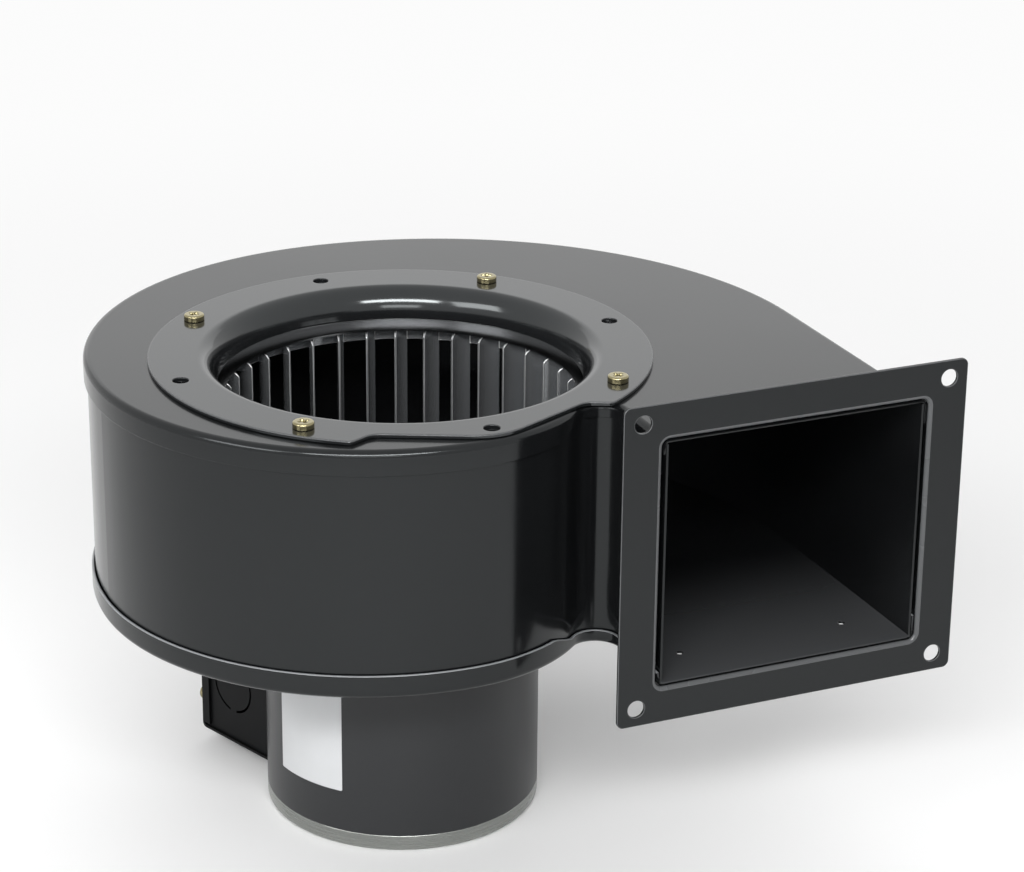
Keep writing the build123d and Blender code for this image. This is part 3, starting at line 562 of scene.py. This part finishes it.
# Outlet flange: a steel frame stamped with four duct holes, and a collar drawn round the end of the duct.
# Its edges are eased by the press, and the opening is rolled back to the collar.
flange_low, flange_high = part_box("outlet_flange")
flange_sheet = 1.5 * MM
flange_corner = 3.2 * MM
flange_border_y = 18.4 * MM
flange_border_z = 16.55 * MM
flange_hole = 7.94 * MM
hole_from_edge_y = 9.05 * MM
hole_from_edge_z = 8.2 * MM
opening_corner = 3.5 * MM
opening_roll = 1.9 * MM
collar_ease = 0.3 * MM
collar_root = 1.0 * MM

# The flange stands on the YZ plane, so its own x runs along +Y, its y up and its depth back along -X.
flange_stand = Matrix(((0, 0, 1, flange_high[0]), (1, 0, 0, 0), (0, 1, 0, 0), (0, 0, 0, 1)))
flange_middle = ((flange_low[1] + flange_high[1]) / 2, (flange_low[2] + flange_high[2]) / 2)
flange_half_y = (flange_high[1] - flange_low[1]) / 2
flange_half_z = (flange_high[2] - flange_low[2]) / 2
collar_depth = flange_high[0] - flange_low[0]


def rounded_frame(centre, half_width, half_height, corner, bulge=1):
    """The outline of a rectangle with round corners, as an outer edge or, with bulge -1, an opening."""
    points = []
    for start, side_x, side_y in ((0, 1, 1), (90, -1, 1), (180, -1, -1), (270, 1, -1)):
        place = (centre[0] + side_x * (half_width - corner), centre[1] + side_y * (half_height - corner))
        points += arc_points(place, corner, start, start + 90, 10, bulge)
    return points


flange_shape = bmesh.new()
outer_line = rounded_frame(flange_middle, flange_half_y, flange_half_z, flange_corner)
outer_edge = eased_edge(margin=0.3 * MM, ease=0.35 * MM, depth=flange_sheet)
outer_rows = edge_band(flange_shape, outer_line, outer_edge, flange_stand, range(1, 4))
fronts = [outer_rows[0]]
backs = [outer_rows[-1]]
hole_edge = eased_edge(margin=0.3 * MM, ease=0.3 * MM, depth=flange_sheet)
for side_y in (-1, 1):
    for side_z in (-1, 1):
        place = (
            flange_middle[0] + side_y * (flange_half_y - hole_from_edge_y),
            flange_middle[1] + side_z * (flange_half_z - hole_from_edge_z),
        )
        hole_rows = round_hole(flange_shape, place, flange_hole, hole_edge, flange_stand, 7.5, range(1, 4))
        fronts.append(hole_rows[0])
        backs.append(hole_rows[-1])
collar_profile = [(opening_roll + 0.4 * MM, 0)]
collar_profile += [bent(opening_roll, 0, turn) for turn in range(0, 91, 15)]
collar_profile += [
    (0, collar_depth - collar_ease),
    (collar_ease, collar_depth),
    (flange_sheet - collar_ease, collar_depth),
    (flange_sheet, collar_depth - collar_ease),
    (flange_sheet, flange_sheet + collar_root),
    (flange_sheet + collar_ease, flange_sheet + collar_ease),
    (flange_sheet + collar_root, flange_sheet),
    (flange_sheet + 1.4 * MM, flange_sheet),
]
opening_half_y = flange_half_y - flange_border_y
opening_half_z = flange_half_z - flange_border_z
opening_line = rounded_frame(flange_middle, opening_half_y, opening_half_z, opening_corner, -1)
collar_rows = edge_band(flange_shape, opening_line, collar_profile, flange_stand, range(1, 6))
flat_skin(flange_shape, fronts + [collar_rows[0]])
flat_skin(flange_shape, backs + [collar_rows[-1]])
# The flange's eased outer edge, its hole edges and the roll of its opening take the lighter paint: thin paint
# and a painted highlight.
new_piece("flange_frame", flange_shape, [charcoal, thin_paint_and_highlight], "charcoal", "housing", "outlet_flange")

# Inlet ring: one sheet, drawn down to a bell-mouth and trimmed beside the duct, where a lobe carries a hole.
# Four plain holes take a duct or guard, and four screws hold the ring down on the plate.
ring_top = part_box("inlet_ring")[1][2]
ring_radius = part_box("inlet_ring")[1][1]
ring_sheet = 1.9 * MM
screw_hole = 5.2 * MM
mouth_start = 91.0 * MM
mouth_margin = 0.6 * MM
mouth_roll = 9.0 * MM
mouth_depth = 14.1 * MM
mouth_step = 2.25
lip_ease = 0.4 * MM
lip_round = 0.3 * lip_ease
notch =Vector((90.4, 49.0)) * MM
notch_round = 8.0 * MM
lobe_tip = 113.4 * MM
lobe_round = 30.0 * MM
trim_corner = 3.0 * MM

# Each side of the trim runs from the ring's edge through a small corner, down a straight leg to the notch,
# and out again to the tip of the lobe. The leg leans, and its corner touches the ring's edge from inside.
along = (Vector((lobe_tip, 2 * notch.y)) - notch).normalized()
lean = math.degrees(math.atan2(along.x, along.y))
leg_out = Vector((along.y, -along.x))
leg_start = notch - leg_out * trim_corner
leg_mid = leg_start.dot(along)
inside_edge = (ring_radius - trim_corner) ** 2
leg_reach = math.sqrt(leg_mid * leg_mid - leg_start.dot(leg_start) + inside_edge) - leg_mid
corner = leg_start + along * leg_reach
corner_turn = math.degrees(math.atan2(corner.y, corner.x))
notch_centre = (notch.x + notch_round / math.cos(math.radians(lean)), notch.y)
lobe_centre = (lobe_tip - lobe_round / math.cos(math.radians(lean)), 0)
upper_trim = arc_points((0, 0), ring_radius, 180, corner_turn, 2.5)[:-1]
upper_trim += arc_points(corner, trim_corner, corner_turn, -lean, 12)
upper_trim += arc_points(notch_centre, notch_round, 180 - lean, 180 + lean, 8, -1)
upper_trim += arc_points(lobe_centre, lobe_round, lean, 0, 4)
lower_trim = [(Vector((p.x, -p.y)), Vector((out.x, -out.y))) for p, out in reversed(upper_trim[1:-1])]

ring_shape = bmesh.new()
ring_stand = Matrix.Translation((0, 0, ring_top))
trim_edge = eased_edge(margin=0.4 * MM, ease=0.5 * MM, depth=ring_sheet)
# The ring's eased trim edge takes the lighter paint: thin paint and a painted highlight.
trim_rows = edge_band(ring_shape, upper_trim + lower_trim, trim_edge, ring_stand, range(1, 4))
fronts = [trim_rows[0]]
backs = [trim_rows[-1]]
hole_edge = eased_edge(margin=0.3 * MM, ease=0.4 * MM, depth=ring_sheet)
for number, place in enumerate(circle_of(ring_holes, 8, 0)):
    diameter = screw_hole if number % 2 else ring_hole
    hole_rows = round_hole(ring_shape, place, diameter, hole_edge, ring_stand, 7.5)
    fronts.append(hole_rows[0])
    backs.append(hole_rows[-1])
mouth_profile = [(mouth_margin, 0)]
inner_profile = [(mouth_margin, ring_sheet)]
inner_roll = mouth_roll - ring_sheet
inner_depth = mouth_depth - ring_sheet
for turn in range(0, 86, 5):
    angle = math.radians(turn)
    mouth_profile.append((-mouth_roll * math.sin(angle), mouth_depth * (1 - math.cos(angle))))
    inner_profile.append((-inner_roll * math.sin(angle), mouth_depth - inner_depth * math.cos(angle)))
mouth_profile += [
    (-mouth_roll, mouth_depth - lip_ease),
    (-mouth_roll + lip_round, mouth_depth - lip_round),
    (-mouth_roll + lip_ease, mouth_depth),
]
inner_profile.append((-inner_roll, mouth_depth))
mouth_profile += inner_profile[::-1]
mouth_rows = round_hole(ring_shape, (0, 0), 2 * mouth_start, mouth_profile, ring_stand, mouth_step)
flat_skin(ring_shape, fronts + [mouth_rows[0]])
flat_skin(ring_shape, backs + [mouth_rows[-1]])
ring_paint = coated("ring_paint", (0.0110, 0.0118, 0.0126), 0.12, peel=0.08, grain=500)
glaze(ring_paint, ior=1.54, tint=charcoal_tint)
new_piece("bell_mouth_ring", ring_shape, [ring_paint, thin_paint_and_highlight], "charcoal", "housing", "inlet_ring")

ring_screws = bmesh.new()
for place, twist in zip(circle_of(ring_holes, 4, 45), (20, 62, 35, 5)):
    seat = Vector((*place, ring_top))
    stand = Matrix.Translation(seat) @ Matrix.Rotation(math.radians(twist), 4, "Z")
    pan_head(
        ring_screws,
        stand,
        head_radius=4.7 * MM,
        head_height=3.0 * MM,
        shank_radius=2.4 * MM,
        shank_length=9.5 * MM,
    )
new_piece("ring_hold_screws", ring_screws, [yellow_zinc], "zinc_yellow", "housing", "inlet_ring_screws")

# Studio: a pale sheet runs under the blower and out of sight, where it fades to white. One long soft lamp
# hangs high over the camera and weaker ones behind and left of it. A bright wall far behind the blower
# shows in the top of the housing.
floor_half = 6.0
floor_colour = (0.90, 0.90, 0.90, 1)
white_colour = (0.97, 0.97, 0.97, 1)
fade_reach = (0.22, 1.2)
floor_corners = [
    (-floor_half, -floor_half, 0),
    (floor_half, -floor_half, 0),
    (floor_half, floor_half, 0),
    (-floor_half, floor_half, 0),
]
floor_mesh = bpy.data.meshes.new("floor")
floor_mesh.from_pydata(floor_corners, [], [(0, 1, 2, 3)])
floor = bpy.data.objects.new("floor", floor_mesh)
bpy.context.scene.collection.objects.link(floor)


def white_rays(tree):
    """1 for what the camera sees, straight, in a mirror or through glass, and 0 for light on the blower."""
    rays = tree.nodes.new("ShaderNodeLightPath")
    mirrored = combine(tree, "MAXIMUM", rays.outputs["Is Camera Ray"], rays.outputs["Is Glossy Ray"])
    return combine(tree, "MAXIMUM", mirrored, rays.outputs["Is Transmission Ray"])


paper, sheet, paper_shader = new_material("floor_paper")
paper_shader.inputs["Base Color"].default_value = floor_colour
paper_shader.inputs["Roughness"].default_value = 0.6
paper_shader.inputs["Specular IOR Level"].default_value = 0.2
spot = sheet.nodes.new("ShaderNodeTexCoord")
distance = sheet.nodes.new("ShaderNodeVectorMath")
distance.operation = "LENGTH"
sheet.links.new(spot.outputs["Object"], distance.inputs[0])
faded = spread(sheet, distance.outputs["Value"], fade_reach, smooth=True)
white = sheet.nodes.new("ShaderNodeEmission")
white.inputs["Color"].default_value = white_colour
join = sheet.nodes.new("ShaderNodeMixShader")
sheet.links.new(combine(sheet, "MULTIPLY", faded, white_rays(sheet)), join.inputs["Fac"])
sheet.links.new(paper_shader.outputs["BSDF"], join.inputs[1])
sheet.links.new(white.outputs["Emission"], join.inputs[2])
sheet.links.new(join.outputs["Shader"], sheet.nodes["Material Output"].inputs["Surface"])
floor_mesh.materials.append(paper)


def soft_lamp(name, place, aim, width, depth, watts):
    """A rectangular lamp that faces its aim and doesn't show itself."""
    lamp = bpy.data.lights.new(name, "AREA")
    lamp.shape = "RECTANGLE"
    lamp.size = width
    lamp.size_y = depth
    lamp.energy = watts
    holder = bpy.data.objects.new(name, lamp)
    holder.location = place
    holder.rotation_euler = (Vector(aim) - Vector(place)).to_track_quat("-Z", "Y").to_euler()
    holder.visible_camera = False
    bpy.context.scene.collection.objects.link(holder)


housing_top = (0, 0, 0.22)
soft_lamp("over_camera", (1.248, -0.494, 1.091), housing_top, width=1.30, depth=0.24, watts=22)
soft_lamp("behind_camera", (1.72, -0.68, 0.66), housing_top, width=0.8, depth=0.25, watts=3)
soft_lamp("left_of_camera", (0.80, -2.60, 1.60), (0.1, 0, 0.1), width=1.6, depth=0.8, watts=28)
soft_lamp("bright_wall", (-2.60, 1.06, 1.23), housing_top, width=3.2, depth=1.3, watts=5.5)

world = bpy.data.worlds.new("studio")
bpy.context.scene.world = world
world.use_nodes = True
sky = world.node_tree
room = sky.nodes["Background"]
room.inputs["Color"].default_value = (1, 1, 1, 1)
way = sky.nodes.new("ShaderNodeTexCoord")
behind = sky.nodes.new("ShaderNodeVectorMath")
behind.operation = "DOT_PRODUCT"
behind.inputs[1].default_value = (-0.93, 0.37, 0.0)
sky.links.new(way.outputs["Generated"], behind.inputs[0])
glow = spread(sky, behind.outputs["Value"], (-0.3, 0.7), (0.17, 1.47), smooth=True)
sky.links.new(glow, room.inputs["Strength"])
seen = sky.nodes.new("ShaderNodeBackground")
seen.inputs["Color"].default_value = white_colour
blend = sky.nodes.new("ShaderNodeMixShader")
sky.links.new(white_rays(sky), blend.inputs["Fac"])
sky.links.new(room.outputs["Background"], blend.inputs[1])
sky.links.new(seen.outputs["Background"], blend.inputs[2])
sky.links.new(blend.outputs["Shader"], sky.nodes["World Output"].inputs["Surface"])

# The camera stands where the photographer stood, a little above the inlet and beside the outlet.
camera_place = Vector((1.2200, -0.4834, 0.6990))
camera_heading = math.radians(66.21)
camera_tilt = math.radians(90 - 21.64)
camera_roll = math.radians(0.56)
camera_data = bpy.data.cameras.new("camera")
camera_data.lens = 109.57
camera_data.sensor_width = 36.0
camera_data.shift_x = 0.0007
camera = bpy.data.objects.new("camera", camera_data)
camera.matrix_world = (
    Matrix.Translation(camera_place)
    @ Matrix.Rotation(camera_heading, 4, "Z")
    @ Matrix.Rotation(camera_tilt, 4, "X")
    @ Matrix.Rotation(camera_roll, 4, "Z")
)
bpy.context.scene.collection.objects.link(camera)
bpy.context.scene.camera = camera
bpy.context.scene.view_settings.view_transform = "Standard"
